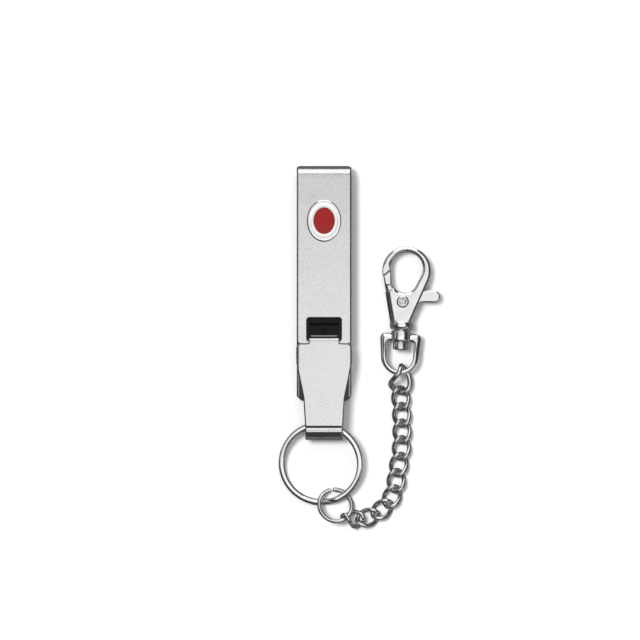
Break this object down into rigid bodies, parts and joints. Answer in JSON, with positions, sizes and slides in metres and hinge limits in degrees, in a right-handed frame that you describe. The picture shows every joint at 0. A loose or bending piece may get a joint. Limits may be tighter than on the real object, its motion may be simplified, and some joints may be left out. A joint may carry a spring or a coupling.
{
  "type": "belt key clip",
  "caption": "Spring-steel belt clip with a removable hanger plate, a split key ring and a short curb chain that ends in a swivel snap hook.",
  "frame": {"origin": "centre of the back face of the belt clip's back leaf, on the surface that the object lies on", "axes": "+Y from the clip's middle to the top of its fold, +X to the right in the picture, +Z from the back leaf to the badge"},
  "size_m": [0.0478, 0.1075, 0.0079],
  "materials": {
    "clip_steel": "satin nickel over a polished steel strip",
    "hanger_steel": "satin nickel",
    "badge_metal": "polished",
    "enamel": "glossy enamel",
    "spring_steel": "blackened",
    "ring_steel": "bright nickel",
    "chain_steel": "bright nickel",
    "cast_zinc": "bright nickel on a cast body",
    "pin_steel": "plain steel"
  },
  "bodies": {
    "belt_clip": {"belt_clip": "clip_steel", "badge_plate": "badge_metal", "badge_enamel": "enamel"},
    "snap_body": {"snap_body": "cast_zinc", "swivel_pin": "pin_steel", "gate_rivet": "pin_steel", "gate_spring": "pin_steel"},
    "keeper_spring": {"keeper_spring": "spring_steel"},
    "hanger_plate": {"hanger_plate": "hanger_steel"},
    "key_ring": {"key_ring": "ring_steel"},
    "jump_ring": {"jump_ring": "chain_steel"},
    "chain_link_01": {"chain_link_01": "chain_steel"},
    "chain_link_02": {"chain_link_02": "chain_steel"},
    "chain_link_03": {"chain_link_03": "chain_steel"},
    "chain_link_04": {"chain_link_04": "chain_steel"},
    "chain_link_05": {"chain_link_05": "chain_steel"},
    "chain_link_06": {"chain_link_06": "chain_steel"},
    "chain_link_07": {"chain_link_07": "chain_steel"},
    "chain_link_08": {"chain_link_08": "chain_steel"},
    "chain_link_09": {"chain_link_09": "chain_steel"},
    "chain_link_10": {"chain_link_10": "chain_steel"},
    "chain_link_11": {"chain_link_11": "chain_steel"},
    "swivel_bail": {"swivel_bail": "cast_zinc"},
    "snap_gate": {"snap_gate": "cast_zinc"}
  },
  "joints": [
    {"name": "keeper_press", "type": "hinge", "parent": "belt_clip", "child": "keeper_spring", "pos_m": [0, 0.0185, 0.00575], "axis": [1, 0, 0], "range_deg": [0, 3.5], "stiffness_Nm_per_rad": 1.5},
    {"name": "hanger_swing", "type": "hinge", "parent": "belt_clip", "child": "hanger_plate", "pos_m": [0, -0.01709, 0.00655], "axis": [-1, 0, 0], "range_deg": [0, 18]},
    {"name": "key_ring_swing", "type": "hinge", "parent": "hanger_plate", "child": "key_ring", "pos_m": [0, -0.04304, 0.0046], "axis": [-1, 0, 0], "range_deg": [-75, 100]},
    {"name": "jump_ring_travel", "type": "hinge", "parent": "key_ring", "child": "jump_ring", "pos_m": [-0.001, -0.05334, 0.00319], "axis": [-0.0981, -0.1547, 0.9831], "range_deg": [-60, 5]},
    {"name": "link_11_travel", "type": "hinge", "parent": "jump_ring", "child": "chain_link_11", "pos_m": [0.00338, -0.06578, 0.00267], "axis": [0.1986, 0.342, 0.9185], "range_deg": [-40, 3]},
    {"name": "link_10_turn", "type": "hinge", "parent": "chain_link_11", "child": "chain_link_10", "pos_m": [0.01064, -0.07026, 0.00167], "axis": [0, 0, 1], "range_deg": [-20, 3]},
    {"name": "link_09_turn", "type": "hinge", "parent": "chain_link_10", "child": "chain_link_09", "pos_m": [0.01527, -0.06857, 0.00167], "axis": [0, 0, 1], "range_deg": [-20, 3]},
    {"name": "link_08_turn", "type": "hinge", "parent": "chain_link_09", "child": "chain_link_08", "pos_m": [0.01905, -0.0654, 0.00167], "axis": [0, 0, 1], "range_deg": [-20, 4]},
    {"name": "link_07_turn", "type": "hinge", "parent": "chain_link_08", "child": "chain_link_07", "pos_m": [0.02121, -0.06097, 0.00167], "axis": [0, 0, 1], "range_deg": [-20, 4]},
    {"name": "link_06_turn", "type": "hinge", "parent": "chain_link_07", "child": "chain_link_06", "pos_m": [0.02155, -0.05605, 0.00167], "axis": [0, 0, 1], "range_deg": [-20, 4]},
    {"name": "link_05_turn", "type": "hinge", "parent": "chain_link_06", "child": "chain_link_05", "pos_m": [0.02274, -0.05127, 0.00167], "axis": [0, 0, 1], "range_deg": [-20, 4]},
    {"name": "link_04_turn", "type": "hinge", "parent": "chain_link_05", "child": "chain_link_04", "pos_m": [0.02309, -0.04635, 0.00167], "axis": [0, 0, 1], "range_deg": [-20, 5]},
    {"name": "link_03_turn", "type": "hinge", "parent": "chain_link_04", "child": "chain_link_03", "pos_m": [0.02309, -0.04142, 0.00167], "axis": [0, 0, 1], "range_deg": [-20, 5]},
    {"name": "link_02_turn", "type": "hinge", "parent": "chain_link_03", "child": "chain_link_02", "pos_m": [0.02292, -0.0365, 0.00167], "axis": [0, 0, 1], "range_deg": [-20, 6]},
    {"name": "link_01_turn", "type": "hinge", "parent": "chain_link_02", "child": "chain_link_01", "pos_m": [0.02257, -0.03158, 0.00167], "axis": [0, 0, 1], "range_deg": [-20, 8]},
    {"name": "bail_turn", "type": "hinge", "parent": "chain_link_01", "child": "swivel_bail", "pos_m": [0.02266, -0.02648, 0.00428], "axis": [0, 0, 1], "range_deg": [-15, 15]},
    {"name": "hook_swivel", "type": "hinge", "parent": "swivel_bail", "child": "snap_body", "pos_m": [0.02326, -0.00551, 0.00318], "axis": [0.0523, 0.9973, -0.0523], "continuous": true},
    {"name": "gate_press", "type": "hinge", "parent": "snap_body", "child": "snap_gate", "pos_m": [0.02326, -0.00551, 0.00318], "axis": [-0.0027, -0.0523, -0.9986], "range_deg": [0, 18], "stiffness_Nm_per_rad": 0.06}
  ]
}
